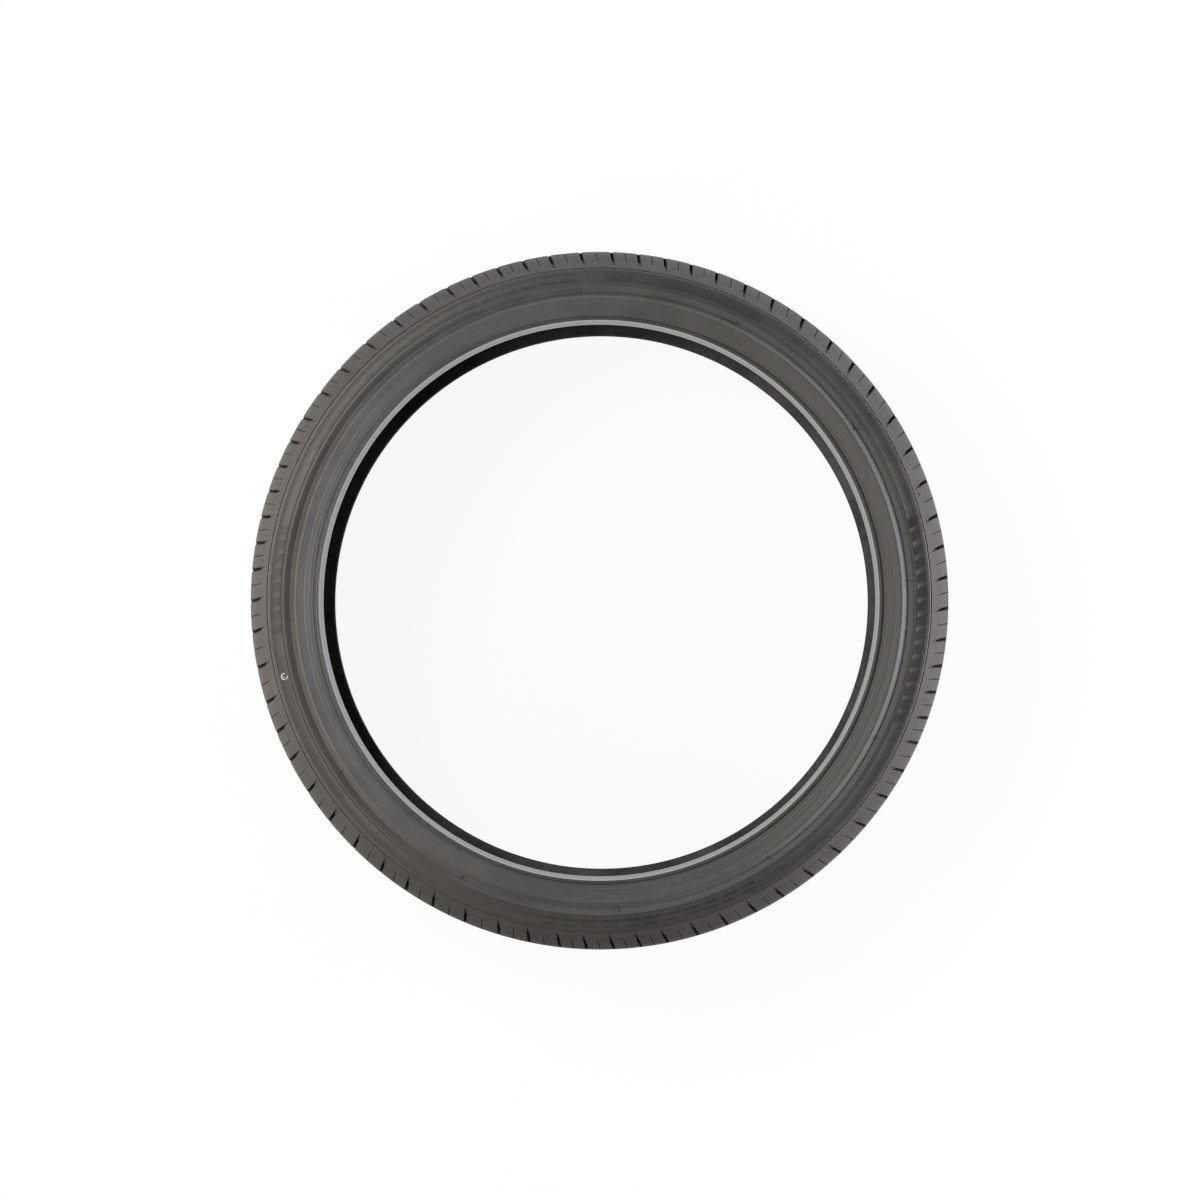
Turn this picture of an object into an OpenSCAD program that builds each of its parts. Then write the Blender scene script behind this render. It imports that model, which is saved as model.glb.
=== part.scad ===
// Low-profile car tyre without its wheel, lying on one side.
// The origin is the centre of the wheel and +Z is the axle.
// Sections are drawn as [distance from the axle, height along the axle].

/* [Overall] */
// Diameter of the rim seats, where the bead heels sit
seat_d = 436.6; // [385:0.1:488]
// Width over the protector ribs
overall_w = 165; // [155:0.5:225]

/* [Tread] */
// Distance from the tyre's side in to the shoulder corner, where the crown ends
crown_inset = 21.5; // [19.5:0.5:24]
// Radius of the crown across the tread
crown_arc_r = 700; // [500:10:900]
// Number of main grooves around the tread
main_grooves = 3; // [2:1:4]
// Distance from the shoulder corner in to the outer main groove
outer_groove_inset = 31; // [27:0.5:35]
// Width of a main groove at its mouth
main_groove_w = 8.5; // [6:0.5:10]
// Depth of a main groove
main_groove_depth = 7; // [5:0.1:8]
// Slope of a main groove's walls
main_groove_draft = 6; // [2:1:12]
// Width of a notch, cut from an outer main groove into the rib beside it
notch_w = 1.6; // [1:0.1:2.4]
// Length of a notch
notch_l = 11; // [7:0.5:14]
// Depth of a notch
notch_depth = 5; // [3:0.1:6]
// How far a notch turns from the axle's direction
notch_slant = 35; // [20:1:45]

/* [Shoulders] */
// Radius of the corner between crown and flank
shoulder_r = 12; // [8:0.5:14]
// Angle between the flank and the axle
flank_angle = 50; // [46:0.5:54]
// How far the flank reaches in from the outside diameter
flank_h = 17.2; // [16.4:0.1:18.4]
// Width of a slot at the outside diameter
slot_w = 3; // [2:0.1:3.6]
// Width of a slot at its lower end
slot_end_w = 2.2; // [1.4:0.1:3]
// How far a slot leans from the radius
slot_lean = 15; // [8:1:20]
// Depth of a slot under the crown
slot_depth = 6.4; // [4:0.1:7]
// How far in from the outside diameter a slot turns shallow
slot_step = 10.4; // [9.4:0.1:12]
// Depth of a slot's shallow lower part, square to the flank
slot_shelf = 1.6; // [0.8:0.1:2.4]
// How far in from the outside diameter a slot ends
slot_reach = 15.7; // [14:0.1:16.2]
// Width of tread left between a slot and the outer main groove
slot_bridge = 5; // [3:0.5:9]
// Width of a sipe, the thin cut halfway between two slots, at the outside diameter
sipe_w = 0.8; // [0.6:0.1:1.2]
// Width of a sipe at its lower end
sipe_end_w = 0.5; // [0.4:0.1:0.7]
// Depth of a sipe
sipe_depth = 4.5; // [3:0.1:6]
// How far in from the outside diameter a sipe ends
sipe_reach = 11.8; // [9:0.1:13]
// Width of tread left between a sipe and the outer main groove
sipe_bridge = 12; // [9:0.5:16]

/* [Sidewalls] */
// Radius where the flank turns into the sidewall
upper_arc_r = 2.5; // [1.5:0.1:3]
// How far the sidewall's upper band tilts outwards
wall_tilt = 8; // [4:0.5:10]
// Width of the fine groove below the slots
fine_groove_w = 1.2; // [0.8:0.1:1.6]
// Depth of the fine groove
fine_groove_depth = 0.6; // [0.3:0.1:1]
// Height of the upper sidewall, from the protector rib out to the flank
upper_wall_h = 13.7; // [13:0.1:60]
// Width of the protector rib's flat top
rib_w = 1.8; // [1.2:0.1:2.4]
// Height of the protector rib over the sidewall
rib_h = 1.9; // [1:0.1:2.5]
// Distance from the bottom of the valley out to the protector rib
rib_gap = 3.8; // [3.6:0.1:6]
// Depth of the valley below the protector rib
valley_depth = 2.8; // [2:0.1:3.5]
// Distance from the flange ridge out to the bottom of the valley
valley_gap = 5.3; // [4.2:0.1:6]
// How far the flange ridge stays below the protector rib
ridge_drop = 0.5; // [0.2:0.1:1.2]
// Distance from the rim seat out to the flange ridge
ridge_rise = 16.9; // [16.4:0.1:22]
// Thickness of the sidewall
sidewall_t = 8.5; // [7:0.1:10]

/* [Beads] */
// Distance from the tyre's side in to a bead heel
heel_inset = 7; // [6:0.5:17]
// Radius of a bead heel
heel_r = 3; // [2.4:0.1:4.4]
// Width of a bead's base, from heel to toe
base_w = 16; // [14:0.1:18]
// Width of the straight bore at a bead's toe
toe_land = 2.5; // [2:0.1:3.5]
// How far the toe stands inside the rim seat
toe_bite = 2.6; // [2:0.1:3.2]
// Distance from the heel's round out to the rim centring line
line_gap = 0.6; // [0.6:0.1:1.2]
// Height of the rim centring line
line_h = 0.5; // [0.3:0.1:0.8]
// Thickness of a bead above its base
bead_t = 13; // [11:0.1:14]

/* [Inside] */
// Thickness of the tyre under the main grooves
under_groove_t = 7; // [5.5:0.1:9]
// Radius inside the shoulder
inner_shoulder_r = 13; // [9:0.5:15]

/* [Hidden] */

// Circle and fillet resolution
$fn = 180;
fillet_steps = 4;
crown_steps = 4;
// Reach of a cutter past the surface that it opens
past = 2;

// Heights, counted out from the rim seat: this stack makes the outside diameter of 550.4
seat_r = seat_d / 2;
ridge_r = seat_r + ridge_rise;
valley_r = ridge_r + valley_gap;
rib_r = valley_r + rib_gap;
flank_end_r = rib_r + upper_wall_h;
outer_r = flank_end_r + flank_h;
crown_centre_r = outer_r - crown_arc_r;
toe_r = seat_r - toe_bite;

// Widths, counted in from the side of the tyre
half_w = overall_w / 2;
crown_end_z = half_w - crown_inset;
outer_groove_z = crown_end_z - outer_groove_inset;
main_groove_pitch = 2 * outer_groove_z / (main_grooves - 1);
wall_z = half_w - rib_h;
valley_z = half_w - valley_depth;
ridge_z = half_w - ridge_drop;
heel_z = half_w - heel_inset;
toe_z = heel_z - base_w;

// Shoulder: the crown's arc ends at the corner, and the flank leaves it at its own angle
crown_end_turn = asin(crown_end_z / crown_arc_r);
crown_end = crown_point(crown_end_turn, 0);
corner_turn = flank_angle - crown_end_turn;
corner = crown_end + shoulder_r * tan(corner_turn / 2) * [-sin(crown_end_turn), cos(crown_end_turn)];
flank_end_z = flank_at(flank_end_r);

// Sidewall, from the flank down to the bead heel. Its upper band falls from the rib's foot to the flank.
rib_foot = 0.7;
rib_foot_r = rib_r + rib_w / 2 + rib_foot;
flank_slope = 1 / tan(flank_angle);
wall_slope = tan(wall_tilt);
wall_turn_r = flank_end_r - (wall_at(flank_end_r) - flank_end_z) / (flank_slope - wall_slope);
flange_foot_r = seat_r + 6.5;
flange_foot_z = heel_z + 0.5;
line_r = seat_r + heel_r + line_gap;
line_foot = 0.6;
seat_taper = 5;
seat_taper_w = 9;

// Fillets and the toe's chamfer
rib_fillet = 1;
valley_fillet = 3;
ridge_fillet = 2;
flange_fillet = 12;
bead_fillet = 10;
liner_fillet = 12;
toe_chamfer = 1.1;

// Inside of the tyre
liner_depth = main_groove_depth + under_groove_t;
liner_r = outer_r - liner_depth;
liner_end_r = crown_at(crown_end_z, liner_depth) + 1;
liner_wall_z = valley_z - sidewall_t;
liner_fall = 2;
bead_in_z = heel_z - bead_t;

// Variable pitch: each tread block is short, medium or long, so that the tread makes less noise.
// A run is [block length, how many]. A medium block counts as 1.
S = 0.867;
M = 1;
L = 1.156;
pitch_runs = [
    [M, 1], [S, 4], [M, 2], [L, 4], [M, 4], [S, 4], [M, 2], [L, 2], [M, 2], [L, 4], [M, 2],
    [L, 2], [M, 2], [S, 6], [M, 2], [L, 2], [M, 2], [S, 4], [M, 2], [S, 4], [M, 2], [L, 2],
    [M, 2], [L, 4], [M, 3]
];
pitches = [for (run = pitch_runs) for (i = [1:run[1]]) run[0]];
pitch_starts = [for (i = 0, sum = 0; i < len(pitches); sum = sum + pitches[i], i = i + 1) sum];
pitch_total = pitch_starts[len(pitches) - 1] + pitches[len(pitches) - 1];
first_slot = -1.1;
slot_turns = [for (start = pitch_starts) first_slot - 360 * start / pitch_total];
sipe_turns = [for (i = [0:len(pitches) - 1]) slot_turns[i] - 180 * pitches[i] / pitch_total];

// A point on the crown's arc, or below it, where the normal has turned by this angle from the radius
function crown_point(turn, depth) =
    [crown_centre_r + (crown_arc_r - depth) * cos(turn), (crown_arc_r - depth) * sin(turn)];

// The crown's surface, or a surface below it, at this height along the axle
function crown_at(z, depth) = crown_point(asin(z / (crown_arc_r - depth)), depth)[0];

// Height along the axle of the flank's surface at this distance from the axle
function flank_at(r) = corner[1] + (corner[0] - r) / tan(flank_angle);

// Height along the axle of the sidewall's upper band at this distance from the axle
function wall_at(r) = wall_z - (r - rib_foot_r) * wall_slope;

function unit(v) = v / norm(v);

// Points of the fillet of radius r at corner b of the line a, b, c
function fillet(a, b, c, r) =
    let (u = unit(a - b), v = unit(c - b), half = acos(u * v) / 2)
    let (run = r / tan(half), centre = b + unit(u + v) * r / sin(half))
    let (from = b + u * run - centre, to = b + v * run - centre)
    let (a0 = atan2(from[1], from[0]), swing = atan2(to[1], to[0]) - a0)
    let (turn = swing > 180 ? swing - 360 : swing < -180 ? swing + 360 : swing, step = turn / fillet_steps)
    [for (i = [0:fillet_steps]) centre + r * [cos(a0 + step * i), sin(a0 + step * i)]];

// Place of corner i in a list of [distance from the axle, height, fillet radius]
function place(corners, i) = [corners[i][0], corners[i][1]];

// How far the fillet at corner i runs along its walls
function fillet_run(corners, i) = corners[i][2] == 0 ? 0 :
    let (p = place(corners, i), u = unit(place(corners, i - 1) - p), v = unit(place(corners, i + 1) - p))
    corners[i][2] / tan(acos(u * v) / 2);

// Share of its radius that the fillet at corner i keeps where the wall to corner j is short
function fillet_share(corners, i, j) =
    let (runs = fillet_run(corners, i) + fillet_run(corners, j))
    min(1, 0.99 * norm(place(corners, i) - place(corners, j)) / runs);

// A line through such corners, with its fillets
function rounded(corners) = [
    for (i = [0:len(corners) - 1])
        if (corners[i][2] == 0) place(corners, i)
        else let (r = corners[i][2] * min(fillet_share(corners, i, i - 1), fillet_share(corners, i, i + 1)))
            each fillet(place(corners, i - 1), place(corners, i), place(corners, i + 1), r)
];

// Outside, from the middle of the tread down to the bead's toe
crown_corners = [for (i = [0:crown_steps - 1]) concat(crown_point(crown_end_turn * i / crown_steps, 0), 0)];
outer_line = rounded(concat(crown_corners, [
    [corner[0], corner[1], shoulder_r],
    [wall_turn_r, wall_at(wall_turn_r), upper_arc_r],
    [rib_foot_r, wall_z, 0],
    [rib_r + rib_w / 2, half_w, 0],
    [rib_r - rib_w / 2, half_w, 0],
    [rib_r - rib_w / 2 - rib_foot, half_w - rib_h, rib_fillet],
    [valley_r, valley_z, valley_fillet],
    [ridge_r, ridge_z, ridge_fillet],
    [flange_foot_r, flange_foot_z, flange_fillet],
    [line_r + line_foot, heel_z, 0],
    [line_r + line_foot / 2, heel_z + line_h, 0],
    [line_r - line_foot / 2, heel_z + line_h, 0],
    [line_r - line_foot, heel_z, 0],
    [seat_r, heel_z, heel_r],
    [seat_r - seat_taper_w * tan(seat_taper), heel_z - seat_taper_w, 0],
    [toe_r, toe_z + toe_land, 0],
    [toe_r, toe_z, 0]
]));

// Inside, from the bead's toe up to the middle of the tread
inner_line = rounded([
    [toe_r, toe_z, 0],
    [toe_r + toe_chamfer, toe_z - toe_chamfer, 0],
    [flange_foot_r, bead_in_z, bead_fillet],
    [ridge_r + ridge_fillet, liner_wall_z, liner_fillet],
    [liner_end_r, liner_wall_z - liner_fall, inner_shoulder_r],
    [liner_r, 0, 0]
]);

upper_half = concat(outer_line, inner_line);
lower_half = [for (i = [len(upper_half) - 2:-1:1]) [upper_half[i][0], -upper_half[i][1]]];

module main_groove_section() {
    mouth = main_groove_w / 2;
    bottom = mouth - main_groove_depth * tan(main_groove_draft);
    flare = past * tan(main_groove_draft);
    polygon([
        [-main_groove_depth, -bottom], [past, -mouth - flare],
        [past, mouth + flare], [-main_groove_depth, bottom]
    ]);
}

// The fine groove round the top of the sidewall, square to the flank
module fine_groove_section() {
    translate([flank_end_r, flank_end_z]) rotate(flank_angle)
        translate([-fine_groove_depth, 0]) square([fine_groove_depth + past, fine_groove_w]);
}

module tyre_section() {
    difference() {
        polygon(concat(upper_half, lower_half));
        for (i = [0:main_grooves - 1]) {
            z = i * main_groove_pitch - outer_groove_z;
            translate([crown_at(z, 0), z]) main_groove_section();
        }
        for (side = [0, 1]) mirror([0, side]) fine_groove_section();
    }
}

// Section of a cut in the upper shoulder. Its bottom keeps its depth under the crown, rises to a shelf
// of its own depth under the flank, and ends in the flank.
module shoulder_cut_section(depth, bridge, step, shelf, reach) {
    start_z = outer_groove_z + main_groove_w / 2 + bridge;
    end_r = outer_r - reach;
    step_r = outer_r - step;
    into_flank = shelf * [cos(flank_angle), sin(flank_angle)];
    knee = crown_point(crown_end_turn, depth);
    polygon([
        [crown_at(start_z, depth), start_z],
        [crown_at(start_z, -past), start_z - past],
        [outer_r + past, half_w + past],
        [end_r, half_w + past],
        [end_r, flank_at(end_r)],
        [step_r - into_flank[0], flank_at(step_r) - into_flank[1]],
        [knee[0], knee[1]]
    ]);
}

// Outline of a cut seen along the axle. It widens outwards and leans about its place on the outside diameter.
module cut_outline(w, end_w, reach) {
    low = -reach - past;
    lean = tan(slot_lean);
    widening = (w - end_w) / reach / 2;
    function side(x, way) = [outer_r + x, x * lean + way * (w / 2 + widening * x)];
    polygon([side(low, -1), side(low, 1), side(past, 1), side(past, -1)]);
}

module shoulder_cuts(turns, w, end_w, depth, bridge, step, shelf, reach) {
    for (turn = turns) rotate(turn) intersection() {
        linear_extrude(half_w + past) cut_outline(w, end_w, reach);
        rotate([90, 0, 0]) linear_extrude(4 * reach, center = true)
            shoulder_cut_section(depth, bridge, step, shelf, reach);
    }
}

// Notches in the rib next to an outer main groove, one to each tread block
module rib_notches() {
    groove_side_z = outer_groove_z - main_groove_w / 2;
    for (turn = sipe_turns) rotate(turn)
        translate([crown_at(groove_side_z, notch_depth), 0, groove_side_z]) rotate([-notch_slant, 0, 0])
            translate([0, -notch_w / 2, -notch_l])
                cube([notch_depth + past, notch_w, notch_l + main_groove_w / 2]);
}

module one_side_cuts() {
    rib_notches();
    shoulder_cuts(slot_turns, slot_w, slot_end_w, slot_depth, slot_bridge, slot_step, slot_shelf, slot_reach);
    shoulder_cuts(sipe_turns, sipe_w, sipe_end_w, sipe_depth, sipe_bridge, sipe_reach, 0, sipe_reach);
}

module tyre() {
    color("#2b2b2a") difference() {
        rotate_extrude() tyre_section();
        one_side_cuts();
        rotate([180, 0, 0]) one_side_cuts();
    }
}

tyre();
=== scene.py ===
import math

import bmesh
import bpy
from mathutils import Matrix, Vector


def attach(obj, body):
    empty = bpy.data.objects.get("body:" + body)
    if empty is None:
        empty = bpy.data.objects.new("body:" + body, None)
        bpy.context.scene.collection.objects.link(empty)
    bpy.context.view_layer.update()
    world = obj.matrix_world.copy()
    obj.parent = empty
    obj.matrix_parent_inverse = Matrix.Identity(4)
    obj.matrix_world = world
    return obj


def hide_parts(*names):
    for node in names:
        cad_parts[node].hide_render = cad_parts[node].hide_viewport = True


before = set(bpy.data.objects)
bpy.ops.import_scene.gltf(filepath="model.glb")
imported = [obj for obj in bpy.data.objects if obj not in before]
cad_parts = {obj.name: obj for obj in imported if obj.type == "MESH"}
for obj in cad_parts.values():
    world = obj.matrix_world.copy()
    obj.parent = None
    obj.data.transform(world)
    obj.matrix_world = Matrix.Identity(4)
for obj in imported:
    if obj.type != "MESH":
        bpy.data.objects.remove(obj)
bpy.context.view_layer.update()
scene = bpy.context.scene
scene.view_settings.view_transform = "Standard"
print("frame loaded")


def hexColour(code):
    # sRGB hex to the linear colour that shaders take
    parts = [int(code[i:i + 2], 16) / 255 for i in (1, 3, 5)]
    return [c / 12.92 if c <= 0.04045 else ((c + 0.055) / 1.055) ** 2.4 for c in parts] + [1]


def addNode(tree, kind, settings=None, links=None):
    # adds a node; settings go to its inputs or attributes by name, links are input name -> output socket
    node = tree.nodes.new("ShaderNode" + kind)
    for name, value in (settings or {}).items():
        if name in node.inputs:
            node.inputs[name].default_value = value
        else:
            setattr(node, name, value)
    for name, socket in (links or {}).items():
        tree.links.new(socket, node.inputs[name])
    return node


def mix(a, b, t):
    return tuple(p + (q - p) * t for p, q in zip(a, b))


def putInOrder(bm, edges=()):
    # extruding leaves faces in an order that changes from run to run, so the mesh is built again, sorted by
    # place; the edges given are returned as they are in the new mesh
    order = {v: i for i, v in enumerate(sorted(bm.verts, key=lambda v: tuple(v.co)))}
    bm.verts.sort(key=order.get)
    bm.verts.index_update()
    kept = []
    for group in (bm.edges, bm.faces):
        order = {e: i for i, e in enumerate(sorted(group, key=lambda e: sorted(v.index for v in e.verts)))}
        kept += sorted(order[e] for e in edges if e in order)
        group.sort(key=order.get)
    mesh = bpy.data.meshes.new("in_order")
    bm.to_mesh(mesh)
    bm.clear()
    bm.from_mesh(mesh)
    bpy.data.meshes.remove(mesh)
    bm.edges.ensure_lookup_table()
    return [bm.edges[i] for i in kept]


def finishMesh(bm, name, sharpAngle=32):
    # merged, facing outward, smooth with sharp edges, in metres, riding on the tyre's one body
    putInOrder(bm)
    bmesh.ops.remove_doubles(bm, verts=bm.verts, dist=0.0005)
    bmesh.ops.dissolve_degenerate(bm, edges=bm.edges, dist=0.003)
    bmesh.ops.recalc_face_normals(bm, faces=bm.faces)
    putInOrder(bm)
    limit = math.radians(sharpAngle)
    for face in bm.faces:
        face.smooth = True
    for edge in bm.edges:
        edge.smooth = len(edge.link_faces) == 2 and edge.calc_face_angle(0) < limit
    bmesh.ops.scale(bm, vec=(0.001, 0.001, 0.001), verts=bm.verts)
    mesh = bpy.data.meshes.new(name)
    bm.to_mesh(mesh)
    bm.free()
    piece = bpy.data.objects.new(name, mesh)
    scene.collection.objects.link(piece)
    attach(piece, "root")
    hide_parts("tyre")
    mesh.calc_loop_triangles()
    print(name, len(mesh.loop_triangles), "triangles")
    return piece


def polyline(bm, points, closed=False):
    # the section that a spin or an extrusion starts from
    verts = [bm.verts.new((r, 0, z)) for r, z in points]
    edges = [bm.edges.new(pair) for pair in zip(verts, verts[1:])]
    if closed:
        edges.append(bm.edges.new((verts[-1], verts[0])))
    return verts + edges


def polarPoint(r, turn, z):
    return r * math.cos(turn), r * math.sin(turn), z


def spinRows(rows, columns, closed=False):
    # spins a section into a ring, and returns it with the row and column of each vertex
    bm = bmesh.new()
    bmesh.ops.spin(bm, geom=polyline(bm, rows, closed), axis=(0, 0, 1), cent=(0, 0, 0), dvec=(0, 0, 0),
                   angle=math.tau, steps=columns, use_merge=True, use_duplicate=False)
    rowOf = {(round(r, 2), round(z, 2)): i for i, (r, z) in enumerate(rows)}
    place = {}
    for v in bm.verts:
        r, z = math.hypot(v.co.x, v.co.y), v.co.z
        row = rowOf.get((round(r, 2), round(z, 2)))
        if row is None:
            row = min((abs(r - rr) + abs(z - zz), i) for i, (rr, zz) in enumerate(rows))[1]
        place[v] = (row, round(math.atan2(v.co.y, v.co.x) / math.tau * columns) % columns)
    return bm, place


def cellOf(face, place, columns):
    # lowest row, highest row and first column of a face; the last column joins the first
    got = [place[v] for v in face.verts]
    cols = sorted({column for _, column in got})
    column = cols[-1] if cols[0] == 0 and cols[-1] == columns - 1 else cols[0]
    return min(row for row, _ in got), max(row for row, _ in got), column


def moveOut(bm, faces, place, pointOf):
    # extrudes faces, puts each new vertex at the (distance, height) of its row, and deletes the old faces
    rowAt = {tuple(round(c, 3) for c in v.co): place[v][0] for f in faces for v in f.verts}
    made = bmesh.ops.extrude_face_region(bm, geom=faces)["geom"]
    for v in (g for g in made if isinstance(g, bmesh.types.BMVert)):
        r, z = pointOf(rowAt[tuple(round(c, 3) for c in v.co)])
        v.co = polarPoint(r, math.atan2(v.co.y, v.co.x), z)
        for face in v.link_faces:
            face.material_index = faces[0].material_index
    bmesh.ops.delete(bm, geom=[f for f in faces if f.is_valid], context="FACES")


def addLowerSide(bm):
    # the lower side is the upper one turned over
    other = bmesh.ops.duplicate(bm, geom=bm.verts[:] + bm.edges[:] + bm.faces[:])["geom"]
    bmesh.ops.rotate(bm, verts=[g for g in other if isinstance(g, bmesh.types.BMVert)], cent=(0, 0, 0),
                     matrix=Matrix.Rotation(math.pi, 3, "X"))


def fillet(before, corner, after, radius, steps):
    # an arc that rounds a corner of a section
    a, p, b = Vector(before), Vector(corner), Vector(after)
    u, v = (a - p).normalized(), (b - p).normalized()
    half = u.angle(v) / 2
    run = radius / math.tan(half)
    centre = p + (u + v).normalized() * radius / math.sin(half)
    start, end = p + u * run - centre, p + v * run - centre
    swing = start.angle_signed(end)
    return [tuple(centre + Matrix.Rotation(-swing * i / steps, 2) @ start) for i in range(steps + 1)]


def rounded(corners):
    # corners are (distance from the axle, height, fillet radius, steps)
    line = []
    for i, (r, z, radius, steps) in enumerate(corners):
        if radius:
            line += fillet(corners[i - 1][:2], (r, z), corners[i + 1][:2], radius, steps)
        else:
            line.append((r, z))
    return line


# Sizes that the pieces share. Turned sections are lists of (distance from the axle, height over the middle).
tyre = dict(
    seatRadius=218.3, outerRadius=275.2,
    crownEndZ=61.7, crownArc=700, shoulderRadius=12, flankAngle=50, flankHeight=16.5,
    wallZ=80.6, wallTilt=8, ribFootRadius=246.1,
)
crownCentre = tyre["outerRadius"] - tyre["crownArc"]
flankTurn = math.radians(tyre["flankAngle"])


def crownAt(z, depth=0):
    arc = tyre["crownArc"] - depth
    return crownCentre + math.sqrt(arc * arc - z * z)


crownEnd = (crownAt(tyre["crownEndZ"]), tyre["crownEndZ"])
crownEndTurn = math.asin(tyre["crownEndZ"] / tyre["crownArc"])
cornerRun = tyre["shoulderRadius"] * math.tan((flankTurn - crownEndTurn) / 2)
shoulderCorner = (crownEnd[0] - cornerRun * math.sin(crownEndTurn),
                  crownEnd[1] + cornerRun * math.cos(crownEndTurn))


def flankAt(r):
    return shoulderCorner[1] + (shoulderCorner[0] - r) / math.tan(flankTurn)


flankEndR = tyre["outerRadius"] - tyre["flankHeight"]
flankEnd = Vector((flankEndR, flankAt(flankEndR)))
# along the flank towards the axle, and square to it
flankAlong = Vector((-math.sin(flankTurn), math.cos(flankTurn)))
flankOut = Vector((math.cos(flankTurn), math.sin(flankTurn)))


def wallAt(r):
    # the sidewall's upper band, between the flank and the protector rib
    return tyre["wallZ"] - (r - tyre["ribFootRadius"]) * math.tan(math.radians(tyre["wallTilt"]))


# Variable pitch: blocks are short, medium or long, so that the tread hums less
blockLength = dict(S=0.867, M=1, L=1.156)
blockRuns = "M1 S4 M2 L4 M4 S4 M2 L2 M2 L4 M2 L2 M2 S6 M2 L2 M2 S4 M2 S4 M2 L2 M2 L4 M3"
blocks = [blockLength[run[0]] for run in blockRuns.split() for _ in range(int(run[1:]))]
blocksTotal = sum(blocks)
firstSlot = -1.1
slotTurns, sipeTurns, passed = [], [], 0
for block in blocks:
    slotTurns.append(firstSlot - 360 * passed / blocksTotal)
    sipeTurns.append(slotTurns[-1] - 180 * block / blocksTotal)
    passed += block


tread = dict(
    grooveZ=30, grooveWidth=8.5, grooveDepth=7, grooveDraft=6, grooveFillet=1.2, mouthRadius=0.5,
    slotWidth=3.0, slotEndWidth=2.2, slotLean=15, slotDepth=6.4, slotBridge=5,
    slotStep=10.4, slotShelf=1.6, slotReach=15.7, slotRim=0.3,
    sipeWidth=0.8, sipeEndWidth=0.5, sipeDepth=4.5, sipeBridge=12, sipeReach=11.8,
    notchWidth=1.6, notchLength=11, notchDepth=5, notchSlant=35,
    ribRows=(6.5, 9.5, 12.5, 15.5), ribRowsPastNotch=(20.5, 23, 25), shoulderRow=36.6, midSlotRow=42.5,
    crownRows=(50, 54, 57.8), flankRows=(13.1, 14.4), arcSteps=7,
    # the fine groove where the flank ends: (share of its depth, way along the flank)
    fineGroove=[(0, 0), (0.6, 0.12), (1, 0.35)],
    # underside, inside the casing
    under=[(255.2, 76.6), (257, 71.5), (259.4, 65.5), (262.8, 50), (264, 25), (264.6, 0.5)],
)
fineGrooveDepth = 0.6


def treadRows():
    # section of the upper half, from the middle groove's bottom out to the shoulder and back underneath
    t = tread
    halfMouth = t["grooveWidth"] / 2
    halfBottom = halfMouth - t["grooveDepth"] * math.tan(math.radians(t["grooveDraft"]))
    outer = tyre["outerRadius"]

    def groove(middle, side):
        # one wall of a groove from its bottom up to its mouth, side -1 or 1
        bottomR = crownAt(middle) - t["grooveDepth"]
        mouthZ = middle + side * halfMouth
        wall = [
            (bottomR, middle, 0, 0),
            (bottomR, middle + side * halfBottom, t["grooveFillet"], 2),
            (crownAt(mouthZ), mouthZ, t["mouthRadius"], 2),
            (crownAt(mouthZ + side * 3), mouthZ + side * 3, 0, 0),
        ]
        return rounded(wall)[1:-1]

    rows = [(crownAt(0) - t["grooveDepth"], 0.5)]
    rows += groove(0, 1)
    notchEnd = t["grooveZ"] - halfMouth - t["notchLength"] * math.cos(math.radians(t["notchSlant"]))
    rows += [(crownAt(z), z) for z in (*t["ribRows"], notchEnd, *t["ribRowsPastNotch"])]
    inner = groove(t["grooveZ"], -1)[::-1]
    # one more row on the wall, at the notches' depth
    depthR = crownAt(t["grooveZ"] - halfMouth) - t["notchDepth"]
    wallZ = t["grooveZ"] - halfMouth + t["notchDepth"] * math.tan(math.radians(t["grooveDraft"]))
    at = next(i for i, p in enumerate(inner) if p[0] < depthR)
    inner.insert(at, (depthR, wallZ))
    rows += inner
    rows += [(inner[-1][0], t["grooveZ"])]
    rows += groove(t["grooveZ"], 1)
    slotStart = t["grooveZ"] + halfMouth + t["slotBridge"]
    sipeStart = t["grooveZ"] + halfMouth + t["sipeBridge"]
    rows += [(crownAt(z), z) for z in (t["shoulderRow"], slotStart, t["midSlotRow"], sipeStart, *t["crownRows"])]
    rows += fillet(crownEnd, shoulderCorner, flankEnd, tyre["shoulderRadius"], t["arcSteps"])
    for below in (t["slotStep"], t["sipeReach"], *t["flankRows"], t["slotReach"]):
        rows.append((outer - below, flankAt(outer - below)))
    rows += [tuple(flankEnd - flankOut * fineGrooveDepth * share + flankAlong * way)
             for share, way in t["fineGroove"]]
    return rows + t["under"], notchEnd, slotStart, sipeStart, depthR


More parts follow.
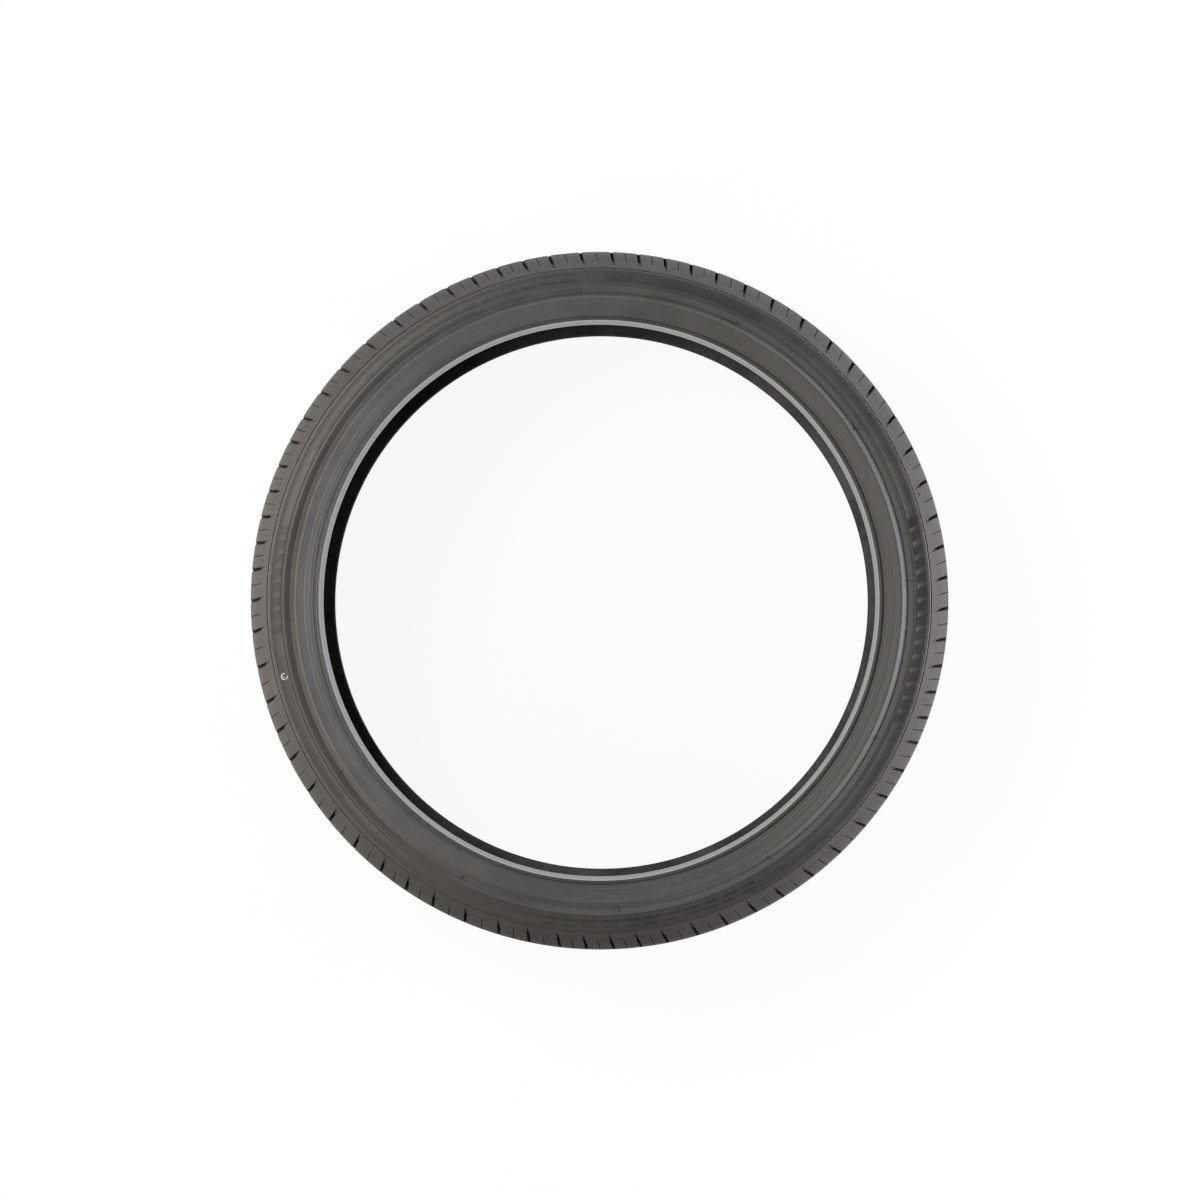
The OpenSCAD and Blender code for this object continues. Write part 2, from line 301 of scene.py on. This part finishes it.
def buildTread():
    t = tread
    rows, notchEnd, slotStart, sipeStart, depthR = treadRows()
    columns = 6 * len(blocks)
    # columns in the order of the spin: both edges of a sipe, mid block, both edges of a slot, mid block
    stations = []
    for i in reversed(range(len(blocks))):
        nextSipe = sipeTurns[i - 1] if i else sipeTurns[-1] + 360
        stations += [(sipeTurns[i], "sipe", -1), (sipeTurns[i], "sipe", 1),
                     ((sipeTurns[i] + slotTurns[i]) / 2, "block", 0),
                     (slotTurns[i], "slot", -1), (slotTurns[i], "slot", 1),
                     ((slotTurns[i] + nextSipe) / 2, "block", 0)]
    mouthZ = t["grooveZ"] - t["grooveWidth"] / 2
    slant = math.tan(math.radians(t["notchSlant"]))
    lean = math.tan(math.radians(t["slotLean"]))
    outer = tyre["outerRadius"]

    def turnOf(station, r, z, onSurface):
        # where a column stands in this row: cuts lean in the shoulder, and notches slant over the middle rib
        turn, kind, side = station
        below = (r if onSurface and z > 35 else crownAt(min(z, crownEnd[1]))) - outer
        y = below * lean
        width = 0
        if kind == "slot":
            width = t["slotWidth"] + (t["slotWidth"] - t["slotEndWidth"]) * below / t["slotReach"]
        if kind == "sipe":
            width = t["sipeWidth"] + (t["sipeWidth"] - t["sipeEndWidth"]) * below / t["sipeReach"]
            if z < t["grooveZ"]:
                width = t["notchWidth"] / math.cos(math.radians(t["notchSlant"]))
        if z < mouthZ:
            y += (max(z, notchEnd) - mouthZ) * slant
        return math.radians(turn) + (y + side * width / 2) / outer

    bm, place = spinRows(rows, columns)
    firstUnder = len(rows) - len(t["under"])
    for v, (row, column) in place.items():
        r, z = rows[row]
        v.co = polarPoint(r, turnOf(stations[column], r, z, row < firstUnder), z)

    # faces that are cut in: between the two edges of a slot, a sipe or a notch
    def rowsBetween(test):
        return {i for i in range(firstUnder - 1) if test(rows[i]) and test(rows[i + 1])}

    slotEndR, sipeEndR = outer - t["slotReach"], outer - t["sipeReach"]
    eps = 0.01
    slotRows = rowsBetween(lambda p: p[1] > slotStart - eps and p[0] > slotEndR - eps)
    sipeRows = rowsBetween(lambda p: p[1] > sipeStart - eps and p[0] > sipeEndR - eps)
    notchRows = rowsBetween(lambda p: notchEnd - eps < p[1] < t["grooveZ"] and p[0] > depthR - eps)
    cuts = dict(slot=[], sipe=[], notch=[])
    for face in bm.faces:
        row, _, column = cellOf(face, place, columns)
        kind, side = stations[column][1:]
        if kind == "slot" and side == -1 and row in slotRows:
            cuts["slot"].append(face)
        elif kind == "sipe" and side == -1 and row in sipeRows:
            cuts["sipe"].append(face)
        elif kind == "sipe" and side == -1 and row in notchRows:
            cuts["notch"].append(face)

    def run(a, b):
        return math.dist(rows[a], rows[b])

    def floorLine(depth, step, shelf, reach):
        # bottom point under each row: level under the crown, up to the shelf, and out at the end
        knee = (crownAt(crownEnd[1], depth), crownEnd[1])
        stepR, endR = outer - step, outer - reach
        shelfStart = (stepR - shelf * math.cos(flankTurn), flankAt(stepR) - shelf * math.sin(flankTurn))
        arcStart = next(i for i, p in enumerate(rows) if p[1] > crownEnd[1] - eps)
        stepRow = min(range(arcStart, firstUnder), key=lambda i: abs(rows[i][0] - stepR))
        endRow = min(range(arcStart, firstUnder), key=lambda i: abs(rows[i][0] - endR))

        def along(i, a, b):
            total = sum(run(j, j + 1) for j in range(a, b))
            return sum(run(j, j + 1) for j in range(a, i)) / total if total else 1

        def bottom(i):
            if i <= arcStart:
                return crownAt(rows[i][1], depth), rows[i][1]
            if i <= stepRow:
                return mix(knee, shelfStart, along(i, arcStart, stepRow))
            return mix(shelfStart, (endR, flankAt(endR)), along(i, stepRow, endRow))
        return bottom

    notchWall = (depthR, next(p[1] for p in rows if abs(p[0] - depthR) < eps and p[1] < t["grooveZ"]))
    bottoms = dict(
        slot=floorLine(t["slotDepth"], t["slotStep"], t["slotShelf"], t["slotReach"]),
        sipe=floorLine(t["sipeDepth"], t["sipeReach"], 0, t["sipeReach"]),
        notch=lambda i: (notchWall if rows[i][1] > mouthZ - t["mouthRadius"] - 0.1
                         else (crownAt(rows[i][1], t["notchDepth"]), rows[i][1])),
    )
    rims = []
    for kind, faces in cuts.items():
        inside = set(faces)
        rim = [e for e in {e for f in faces for e in f.edges} if sum(f in inside for f in e.link_faces) == 1]
        if kind != "sipe":
            rims += rim
        moveOut(bm, faces, place, bottoms[kind])
    bmesh.ops.remove_doubles(bm, verts=bm.verts, dist=0.002)
    rims = [e for e in rims if e.is_valid and len(e.link_faces) == 2 and e.calc_face_angle(0) > 0.6]
    rims = putInOrder(bm, rims)
    bmesh.ops.bevel(bm, geom=rims, offset=t["slotRim"], offset_type="OFFSET", segments=2, profile=0.5,
                    affect="EDGES", material=-1, clamp_overlap=True)

    # two bridges close the band at the middle groove, above and below it
    addLowerSide(bm)
    between = t["grooveDepth"] + 1
    for low, high in ((outer - between, outer), (t["under"][-1][0] - 1, outer - between)):
        loops = [e for e in bm.edges if len(e.link_faces) == 1
                 and low < math.hypot(*e.verts[0].co.xy) < high and abs(e.verts[0].co.z) < 1]
        bmesh.ops.bridge_loops(bm, edges=loops)
    return finishMesh(bm, "tyre_tread")


treadBand = buildTread()


casing = dict(
    # under the tread, from the middle out to the fine groove
    underTread=[(266.3, 0), (266.25, 12), (266, 25), (265.6, 36), (265.1, 45), (264.6, 52), (263.9, 58),
                (263.1, 64), (262.2, 69), (260.9, 73)],
    wallRadius=1.2, grooveWidth=1.2, lip=(0.02, 0.1),
    ribRadius=244.8, ribWidth=0.9, ribEdge=0.25, ribTop=80.9, ribFootRadius=0.4,
    # corners of the sidewall: (distance from the axle, height, radius of the rounding, steps)
    valley=(240, 79.3, 1.4, 4), ridge=(234.8, 82.8, 2, 6), flangeFoot=(222.2, 75.3, 2.5, 3),
    centringLine=220.5, centringLineWidth=1.3, centringLineHeight=0.3,
    heelZ=75.5, heelRadius=1.6, seatFoot=(217.51, 66.5), toeRadius=215.7, toeZ=59.5, toeLand=2.5, toeChamfer=1.1,
    # where the bead's finish and the darker foot of the sidewall start, as distances from the axle
    beadTop=218.25, footZoneR=221.6,
    # fine raised lines that the mould's turning leaves: (distance from the axle, height, width)
    fineLines=[(255.4, 0.08, 0.5), (247.6, 0.12, 0.5), (229.6, 0.05, 0.5), (226.6, 0.05, 0.5),
               (223.6, 0.15, 0.5), (220.6, 0.18, 0.5)],
    # inside, from the bead over the liner to the middle
    beadIn=(224.8, 60.4, 8, 2), linerWall=(236.8, 71.2, 12, 6), linerShoulder=(259.48, 69.2, 13, 6),
    linerCrown=[(260.65, 40), (261, 20), (261.2, 0)],
    linerLines=133, linerLineWidth=0.26, linerLineHeight=0.35, linerLean=[(0, 0), (31, 8), (118, 13)],
)


def addLine(line, radius, height, width):
    # puts one low raised line on an outline, where the outline passes this distance from the axle
    for i in range(len(line) - 1):
        a, b = Vector(line[i]), Vector(line[i + 1])
        if min(a.x, b.x) <= radius < max(a.x, b.x) and (b - a).length > width * 0.5:
            along = (b - a).normalized()
            out = Vector((-along.y, along.x))
            if out.y < 0:
                out = -out
            middle = a + (b - a) * ((radius - a.x) / (b.x - a.x))
            bump = [middle - along * width / 2, middle + out * height, middle + along * width / 2]
            keepA = [line[i]] if (bump[0] - a).dot(along) > 0.02 else []
            keepB = [line[i + 1]] if (b - bump[-1]).dot(along) > 0.02 else []
            return line[:i] + keepA + [tuple(q) for q in bump] + keepB + line[i + 2:]
    return line


def buildCasing():
    c = casing
    slopes = 1 / math.tan(flankTurn) - math.tan(math.radians(tyre["wallTilt"]))
    turnR = flankEndR - (wallAt(flankEndR) - flankEnd.y) / slopes
    footR = tyre["ribFootRadius"]
    wallArc = fillet(flankEnd, (turnR, wallAt(turnR)), (footR, wallAt(footR)), c["wallRadius"], 4)
    grooveFoot = flankEnd - flankOut * fineGrooveDepth
    lip = flankEnd + flankAlong * c["grooveWidth"] - Vector(c["lip"])
    rib, half, soft, top = c["ribRadius"], c["ribWidth"] / 2, c["ribEdge"], c["ribTop"]
    line, lineHalf, heel = c["centringLine"], c["centringLineWidth"] / 2, c["heelZ"]
    lineTop = heel + c["centringLineHeight"]
    outside = c["underTread"] + [tuple(grooveFoot), tuple(grooveFoot + flankAlong * c["grooveWidth"]), tuple(lip)]
    outside += wallArc
    outside += rounded([
        (*wallArc[-1], 0, 0),
        (footR, tyre["wallZ"], c["ribFootRadius"], 1),
        (rib + half, top, soft, 1),
        (rib - half, top, soft, 1),
        c["valley"],
        c["ridge"],
        c["flangeFoot"],
        (line + lineHalf, heel, 0, 0),
        (line + lineHalf / 2, lineTop, 0, 0),
        (line - lineHalf / 2, lineTop, 0, 0),
        (line - lineHalf, heel, 0, 0),
        (tyre["seatRadius"], heel, c["heelRadius"], 5),
        (*c["seatFoot"], 0, 0),
        (c["toeRadius"], c["toeZ"] + c["toeLand"], 0, 0),
        (c["toeRadius"], c["toeZ"], 0, 0),
    ])[1:]
    for radius, height, width in c["fineLines"]:
        outside = addLine(outside, radius, height, width)
    # the first rows of each finish: all of these lie past the rows under the tread
    bandEnd, footStart, beadStart = (next(i for i, p in enumerate(outside) if p[0] < limit)
                                     for limit in (rib, c["footZoneR"], c["beadTop"]))
    inside = rounded([
        (c["toeRadius"], c["toeZ"], 0, 0),
        (c["toeRadius"] + c["toeChamfer"], c["toeZ"] - c["toeChamfer"], 0, 0),
        c["beadIn"],
        c["linerWall"],
        c["linerShoulder"],
        (*c["linerCrown"][-1], 0, 0),
    ])[1:-1]
    upper = outside + inside + c["linerCrown"]
    rows = upper + [(r, -z) for r, z in upper[-2:0:-1]]
    columns = 3 * c["linerLines"]
    lastOut, lastIn = len(outside), len(upper) - 1

    # degrees that each row is turned: the liner's lines run aslant, and the rows under the tread turn back
    lean = [0.0] * len(rows)
    passed = 0
    for i in range(lastOut, len(upper)):
        passed += math.dist(rows[i - 1], rows[i])
        for (a, fromTurn), (b, toTurn) in zip(c["linerLean"], c["linerLean"][1:]):
            if a <= passed:
                lean[i] = fromTurn + (toTurn - fromTurn) * (passed - a) / (b - a)
    total = lean[lastIn]
    for i in range(1, lastIn):
        lean[len(rows) - i] = 2 * total - lean[i]
    backRows = len(c["underTread"]) + 1
    lean[0] = total
    for i in range(1, backRows):
        lean[i] = total * (1 - i / backRows)
        lean[len(rows) - i] = total * (1 + i / backRows)

    bm, place = spinRows(rows, columns, closed=True)
    gap = 360 / c["linerLines"] - c["linerLineWidth"]
    steps = [0, c["linerLineWidth"], c["linerLineWidth"] + gap / 2]
    for v, (row, column) in place.items():
        turn = math.radians(column // 3 * 360 / c["linerLines"] + steps[column % 3] + lean[row])
        r, z = rows[row]
        v.co = polarPoint(r, turn, z)

    # finishes are the same on both sides: 0 sidewall, 1 bead, 2 liner, 3 upper band and foot
    raised = []
    for face in bm.faces:
        low, high, column = cellOf(face, place, columns)
        if low >= len(rows) / 2:
            low, high = len(rows) - high, len(rows) - low
        if low >= lastOut and high <= len(rows) - lastOut:
            face.material_index = 2
            if column % 3 == 0:
                raised.append(face)
        elif low >= beadStart:
            face.material_index = 1
        elif high <= bandEnd or low >= footStart and high <= beadStart:
            face.material_index = 3

    def lineTopAt(row):
        run = Vector(rows[row + 1]) - Vector(rows[row - 1])
        out = Vector((run.y, -run.x)).normalized() * -1
        ends = (lastOut, len(rows) - lastOut)
        return Vector(rows[row]) + out * c["linerLineHeight"] * (0.2 if row in ends else 1)

    moveOut(bm, raised, place, lineTopAt)
    return finishMesh(bm, "tyre_casing")


casingRing = buildCasing()


# Small moulded marks: plain hatching on the upper band, webs in the valley, vent marks whose near-black colour is
# painted shade of vent pits, and wear marks.
# Angles are degrees from +X, anticlockwise as the upper side is seen. Bars are (length, width, height).
marks = dict(
    sink=0.2, slant=20,
    bigHatch=[(-193, -173), (-22, 15)], bigRadius=251.9, bigBar=(8.6, 0.75, 0.4), bigPitch=1.5,
    bigCount=5, bigGap=3.6,
    rowHatch=[(-266, -208), (-100, -61)], rowRadii=(249.7, 253.9), rowBar=(1.9, 0.6, 0.25), rowPitch=1.4,
    rowCount=9, rowGap=3.4,
    midHatch=[(-170, -142)], midRadius=251.6, midBar=(3.4, 0.7, 0.3), midPitch=1.9,
    radialHatch=[(-300, -271)], radialRadius=252, radialBar=(7.4, 0.55, 0.25), radialPitch=2.1,
    webTurns=[-26.4 - 30 * k for k in range(12)], webRadius=239.8, webSize=(6.8, 0.7), webTop=80.9, webFoot=78.3,
    tickTurns=[-11.3 - 30 * k for k in range(12)], tickRadius=220.1, tickBar=(1.5, 1.0, 0.12),
    nick=(224.4, 75.7), nickTurn=-204.7, nickBar=(2.2, 0.6, 0.35),
    ventRadius=264.3, ventBar=(0.8, 1.3, 0.06), ventOffsets=(-0.85, 0.85),
    # wear bars in the grooves: (radial, around, across), and the triangle on the shoulder that points to them
    wearTurns=[18.2 + 60 * k for k in range(6)], wearBar=(2.2, 8, 7.8), wearRise=1.6,
    wearMarkRadius=262.4, wearMarkFoot=1.8, wearMarkTop=1.4, wearMarkDepth=0.8,
)


def addBar(bm, place, size, turn=0, tilt=0, slant=0, material=0):
    # a low block with sloping sides; place is (distance from the axle, height of its foot)
    made = bmesh.ops.create_cube(bm, size=1)["verts"]
    bmesh.ops.translate(bm, verts=made, vec=(0, 0, 0.5))
    bmesh.ops.scale(bm, verts=[v for v in made if v.co.z > 0.5], vec=(0.92, 0.7, 1))
    shape = (Matrix.Rotation(math.radians(turn), 4, "Z") @ Matrix.Translation((place[0], 0, place[1]))
             @ Matrix.Rotation(math.radians(tilt), 4, "Y") @ Matrix.Rotation(math.radians(slant), 4, "Z")
             @ Matrix.Diagonal((*size, 1)))
    bmesh.ops.transform(bm, matrix=shape, verts=made)
    for face in {f for v in made for f in v.link_faces}:
        face.material_index = material


def hatchTurns(arc, radius, pitch, count=0, gap=0):
    # turns of the bars along an arc, in groups of count with a gap after each
    turns, at, i = [], arc[0], 0
    while at <= arc[1]:
        turns.append(at)
        i += 1
        at += math.degrees((pitch + (gap if count and i % count == 0 else 0)) / radius)
    return turns


def buildMarks():
    m = marks
    flankTilt = 90 - tyre["flankAngle"]
    bm = bmesh.new()

    def wallBar(radius, turn, bar, slant=0):
        length, width, height = bar
        addBar(bm, (radius, wallAt(radius) - m["sink"]), (length, width, height + m["sink"]),
               turn, tyre["wallTilt"], slant)

    for arc in m["bigHatch"]:
        for turn in hatchTurns(arc, m["bigRadius"], m["bigPitch"], m["bigCount"], m["bigGap"]):
            wallBar(m["bigRadius"], turn, m["bigBar"], m["slant"])
    for arc in m["rowHatch"]:
        for radius in m["rowRadii"]:
            for turn in hatchTurns(arc, radius, m["rowPitch"], m["rowCount"], m["rowGap"]):
                wallBar(radius, turn, m["rowBar"])
    for arc in m["midHatch"]:
        for turn in hatchTurns(arc, m["midRadius"], m["midPitch"]):
            wallBar(m["midRadius"], turn, m["midBar"], m["slant"])
    for arc in m["radialHatch"]:
        for turn in hatchTurns(arc, m["radialRadius"], m["radialPitch"]):
            wallBar(m["radialRadius"], turn, m["radialBar"])
    # thin webs across the valley, where the mould's parts meet
    for turn in m["webTurns"]:
        addBar(bm, (m["webRadius"], m["webFoot"]), (*m["webSize"], m["webTop"] - m["webFoot"]), turn, material=2)
    # raised ticks by the bead, vent marks on the shoulder and one nick under the ridge, all near-black: painted
    # shade that stands in for the shadow inside small notches and vent pits
    length, width, height = m["tickBar"]
    for turn in m["tickTurns"]:
        addBar(bm, (m["tickRadius"], casing["heelZ"] - m["sink"]), (length, width, height + m["sink"]),
               turn, material=1)
    r = m["ventRadius"]
    leanTurn = math.degrees((r - tyre["outerRadius"]) * math.tan(math.radians(tread["slotLean"])) / r)
    for turn in slotTurns + sipeTurns:
        for offset in m["ventOffsets"]:
            addBar(bm, (r, flankAt(r)), m["ventBar"], turn + leanTurn + offset, flankTilt, material=1)
    addBar(bm, m["nick"], m["nickBar"], m["nickTurn"], material=1)
    made = bmesh.ops.create_cone(bm, cap_ends=True, segments=3, radius1=m["wearMarkFoot"],
                                 radius2=m["wearMarkTop"], depth=m["wearMarkDepth"])["verts"]
    r = m["wearMarkRadius"]
    bmesh.ops.transform(bm, verts=made, matrix=Matrix.Rotation(math.radians(m["wearTurns"][0]), 4, "Z")
                        @ Matrix.Translation((r, 0, flankAt(r)))
                        @ Matrix.Rotation(math.radians(flankTilt), 4, "Y"))
    # the wear triangle takes the same near-black painted shade
    for face in {f for v in made for f in v.link_faces}:
        face.material_index = 1
    addLowerSide(bm)
    for turn in m["wearTurns"]:
        for z in (-tread["grooveZ"], 0, tread["grooveZ"]):
            bottom = crownAt(z) - tread["grooveDepth"]
            radial, around, across = m["wearBar"]
            made = bmesh.ops.create_cube(bm, size=1)["verts"]
            bmesh.ops.transform(bm, verts=made, matrix=Matrix.Rotation(math.radians(turn), 4, "Z")
                                @ Matrix.Translation((bottom + m["wearRise"] - radial / 2, 0, z))
                                @ Matrix.Diagonal((radial, around, across, 1)))
    return finishMesh(bm, "tyre_marks")


mouldedMarks = buildMarks()

balanceMark = dict(radius=251.5, turn=-166.3, ringRadius=2.4, lineWidth=0.7, thickness=0.12, sink=0.1,
                   openAt=50, openWidth=70, ringSteps=26, dotRadius=0.55, dotPlace=(-0.4, -0.7), dotDepth=0.2)


def buildBalanceMark():
    # a printed ring, not quite closed, with a dot inside
    b = balanceMark
    bm = bmesh.new()
    inner, outer = b["ringRadius"] - b["lineWidth"] / 2, b["ringRadius"] + b["lineWidth"] / 2
    top, foot = b["thickness"], -b["sink"]
    section = polyline(bm, [(inner, foot), (outer, foot), (outer, top), (inner, top)], closed=True)
    bmesh.ops.spin(bm, geom=section, axis=(0, 0, 1), cent=(0, 0, 0), dvec=(0, 0, 0),
                   angle=math.radians(360 - b["openWidth"]), steps=b["ringSteps"])
    bmesh.ops.holes_fill(bm, edges=[e for e in bm.edges if len(e.link_faces) == 1], sides=4)
    bmesh.ops.rotate(bm, verts=bm.verts, cent=(0, 0, 0),
                     matrix=Matrix.Rotation(math.radians(b["openAt"] + b["openWidth"] / 2), 3, "Z"))
    dot = bmesh.ops.create_cone(bm, cap_ends=True, segments=12, radius1=b["dotRadius"], radius2=b["dotRadius"],
                                depth=b["dotDepth"])["verts"]
    bmesh.ops.translate(bm, verts=dot, vec=(*b["dotPlace"], top - b["dotDepth"] / 2))
    # turned back so that its opening keeps its direction in the view from above
    bmesh.ops.transform(bm, verts=bm.verts, matrix=Matrix.Rotation(math.radians(b["turn"]), 4, "Z")
                        @ Matrix.Translation((b["radius"], 0, wallAt(b["radius"])))
                        @ Matrix.Rotation(math.radians(tyre["wallTilt"]), 4, "Y")
                        @ Matrix.Rotation(math.radians(-b["turn"]), 4, "Z"))
    return finishMesh(bm, "balance_mark")


printedMark = buildBalanceMark()


def rubber(name, low, high, roughness, grain, specular=0.5, mottle=0.5, rings=0, coat=0):
    # carbon-black rubber: a nearly black diffuse base with a broad soft sheen, uneven from mould spray and dust
    material = bpy.data.materials.new(name)
    material.use_nodes = True
    tree = material.node_tree
    tree.nodes.clear()
    at = addNode(tree, "TexCoord").outputs["Object"]
    # cloudy unevenness, 40 mm across, and dust specks of about 1 mm
    cloud = addNode(tree, "TexNoise", {"Scale": 25, "Detail": 5, "Roughness": 0.6}, {"Vector": at})
    speck = addNode(tree, "TexNoise", {"Scale": 420, "Detail": 3, "Roughness": 0.7}, {"Vector": at})
    both = addNode(tree, "Mix", {"Factor": 0.3}, {"A": cloud.outputs["Fac"], "B": speck.outputs["Fac"]})
    spread = addNode(tree, "MapRange", {"From Min": 0.5 - mottle / 2, "From Max": 0.5 + mottle / 2},
                     {"Value": both.outputs["Result"]})
    colour = addNode(tree, "Mix", {"data_type": "RGBA"}, {"Factor": spread.outputs["Result"]})
    # inputs 6 and 7 are the two colours of a colour mix, and output 2 is its colour
    colour.inputs[6].default_value = hexColour(low)
    colour.inputs[7].default_value = hexColour(high)
    rough = addNode(tree, "MapRange", {"To Min": roughness - 0.06, "To Max": roughness + 0.08},
                    {"Value": cloud.outputs["Fac"]})
    # moulded grain, about 0.5 mm
    fine = addNode(tree, "TexNoise", {"Scale": grain, "Detail": 2}, {"Vector": at})
    bump = addNode(tree, "Bump", {"Strength": 0.25, "Distance": 0.0003}, {"Height": fine.outputs["Fac"]})
    if rings:
        # turning lines of the mould, about 1.3 mm apart
        turned = addNode(tree, "TexWave", {"wave_type": "RINGS", "rings_direction": "Z", "Scale": 240,
                                           "Distortion": 1.5, "Detail": 1, "Detail Scale": 0.3}, {"Vector": at})
        bump = addNode(tree, "Bump", {"Strength": rings, "Distance": 0.0002},
                       {"Height": turned.outputs["Fac"], "Normal": bump.outputs["Normal"]})
    shader = addNode(tree, "BsdfPrincipled", {"Specular IOR Level": specular, "IOR": 1.5, "Coat Weight": coat,
                                             "Coat Roughness": 0.15},
                     {"Base Color": colour.outputs[2], "Roughness": rough.outputs["Result"],
                      "Normal": bump.outputs["Normal"]})
    addNode(tree, "OutputMaterial", links={"Surface": shader.outputs["BSDF"]})
    return material


treadRubber = rubber("moulded_tread_rubber", "#383635", "#484544", 0.62, 1500, specular=0.2)
# the upper band is textured and dark, the part below the rib is smoother and greyer with bloom
bandRubber = rubber("textured_band_rubber", "#2b2a29", "#3d3b39", 0.5, 1800, specular=0.55)
sidewallRubber = rubber("moulded_sidewall_rubber", "#3f3e3e", "#504f4e", 0.5, 1800, specular=0.4, rings=0.05)
# the bead bases are pressed smooth by the mould's rings and shine at a grazing view
beadRubber = rubber("smooth_bead_rubber", "#26262e", "#34343f", 0.22, 2500, specular=0.8, coat=0.7)
linerRubber = rubber("butyl_liner_rubber", "#403d41", "#706b6f", 0.5, 1200, mottle=0.3)
# painted shade: a near-black for the small marks by the bead and on the shoulder, standing in for the shadow
# inside notches and vent pits
shadePaintedRubber = rubber("painted_shade_rubber", "#161515", "#1c1b1b", 0.7, 1500)

# balance mark: white stamp ink, matt
whiteInk = bpy.data.materials.new("white_stamp_ink")
whiteInk.use_nodes = True
ink = whiteInk.node_tree.nodes["Principled BSDF"]
ink.inputs["Base Color"].default_value = hexColour("#d8d8d4")
ink.inputs["Roughness"].default_value = 0.6

treadBand.data.materials.append(treadRubber)
for material in (sidewallRubber, beadRubber, linerRubber, bandRubber):
    casingRing.data.materials.append(material)
for material in (bandRubber, shadePaintedRubber, sidewallRubber):
    mouldedMarks.data.materials.append(material)
printedMark.data.materials.append(whiteInk)
print("rubber finishes made")

studio = dict(
    floorZ=-0.0825, floorSize=8, cameraPlace=(0.047, -0.044, 3.3), aim=(0.0009, 0.0, 0.0755), lens=124.4,
    # lamps: azimuth and height above the floor's plane in degrees, distance and size in metres, watts, colour
    lamps=dict(
        leftLow=(175, 0, 1.3, (1.3, 0.13), 18.5, "#fffaec"),
        left=(180, 55, 1.7, (0.9, 0.7), 2.1, "#ffffff"),
        upperLeft=(148, 55, 1.7, (0.8, 0.7), 20, "#fffcf6"),
        lowerLeft=(212, 35, 1.7, (0.8, 0.6), 12.5, "#fff8ec"),
        right=(0, 9, 1.6, (0.9, 0.3), 36, "#fbf8ff"),
        lowerRight=(-35, 13, 1.6, (0.7, 0.3), 10, "#ffffff"),
        upperRight=(42, 6, 1.6, (0.7, 0.3), 11, "#f9fcff"),
        top=(90, 0, 1.3, (1.3, 0.13), 12, "#f1f1ff"),
        bottom=(-90, 16, 1.6, (0.9, 0.4), 1.4, "#fffaf5"),
    ),
    # the floor's share of plain white for the camera, and what is left takes the shadow
    airLight=0.02, floorWhite=0.92, floorColour="#e9e9ec",
)


def buildStudio():
    s = studio
    camera = bpy.data.objects.new("camera", bpy.data.cameras.new("camera"))
    camera.data.lens = s["lens"]
    camera.data.sensor_width = 36
    camera.data.clip_end = 50
    camera.location = s["cameraPlace"]
    # +Y stays upright in the picture, because the view is almost straight down
    look = (Vector(s["aim"]) - Vector(s["cameraPlace"])).normalized()
    right = look.cross(Vector((0, 1, 0))).normalized()
    camera.rotation_euler = Matrix((right, right.cross(look), -look)).transposed().to_euler()
    scene.collection.objects.link(camera)
    scene.camera = camera

    bm = bmesh.new()
    bmesh.ops.create_grid(bm, x_segments=1, y_segments=1, size=s["floorSize"])
    bmesh.ops.translate(bm, vec=(0, 0, s["floorZ"]), verts=bm.verts)
    mesh = bpy.data.meshes.new("floor")
    bm.to_mesh(mesh)
    bm.free()
    floor = bpy.data.objects.new("floor", mesh)
    scene.collection.objects.link(floor)
    # white paper: the camera and reflections see it mostly as plain white
    paper = bpy.data.materials.new("white_paper")
    paper.use_nodes = True
    tree = paper.node_tree
    tree.nodes.clear()
    path = addNode(tree, "LightPath")
    seen = addNode(tree, "Math", {"operation": "MAXIMUM"})
    tree.links.new(path.outputs["Is Camera Ray"], seen.inputs[0])
    tree.links.new(path.outputs["Is Glossy Ray"], seen.inputs[1])
    share = addNode(tree, "Math", {"operation": "MULTIPLY"})
    tree.links.new(seen.outputs[0], share.inputs[0])
    share.inputs[1].default_value = s["floorWhite"]
    matt = addNode(tree, "BsdfDiffuse", {"Color": hexColour(s["floorColour"])})
    plain = addNode(tree, "Emission", {"Color": (1, 1, 1, 1), "Strength": 1.0})
    both = addNode(tree, "MixShader", links={"Fac": share.outputs[0]})
    tree.links.new(matt.outputs[0], both.inputs[1])
    tree.links.new(plain.outputs[0], both.inputs[2])
    addNode(tree, "OutputMaterial", links={"Surface": both.outputs[0]})
    mesh.materials.append(paper)

    for name, (azimuth, height, distance, size, power, colour) in s["lamps"].items():
        place = (Matrix.Rotation(math.radians(azimuth), 3, "Z") @ Matrix.Rotation(-math.radians(height), 3, "Y")
                 @ Vector((distance, 0, 0)))
        data = bpy.data.lights.new(name, "AREA")
        data.shape = "RECTANGLE"
        data.size, data.size_y = size
        data.energy = power
        data.color = hexColour(colour)[:3]
        light = bpy.data.objects.new(name, data)
        light.location = place
        light.rotation_euler = (-place).to_track_quat("-Z", "Y").to_euler()
        scene.collection.objects.link(light)

    world = bpy.data.worlds.new("studio_air")
    world.use_nodes = True
    scene.world = world
    tree = world.node_tree
    tree.nodes.clear()
    path = addNode(tree, "LightPath")
    strength = addNode(tree, "MapRange", {"To Min": s["airLight"], "To Max": 1.0},
                       {"Value": path.outputs["Is Camera Ray"]})
    air = addNode(tree, "Background", {"Color": (1, 1, 1, 1)}, {"Strength": strength.outputs["Result"]})
    addNode(tree, "OutputWorld", links={"Surface": air.outputs[0]})


buildStudio()
print("studio built")
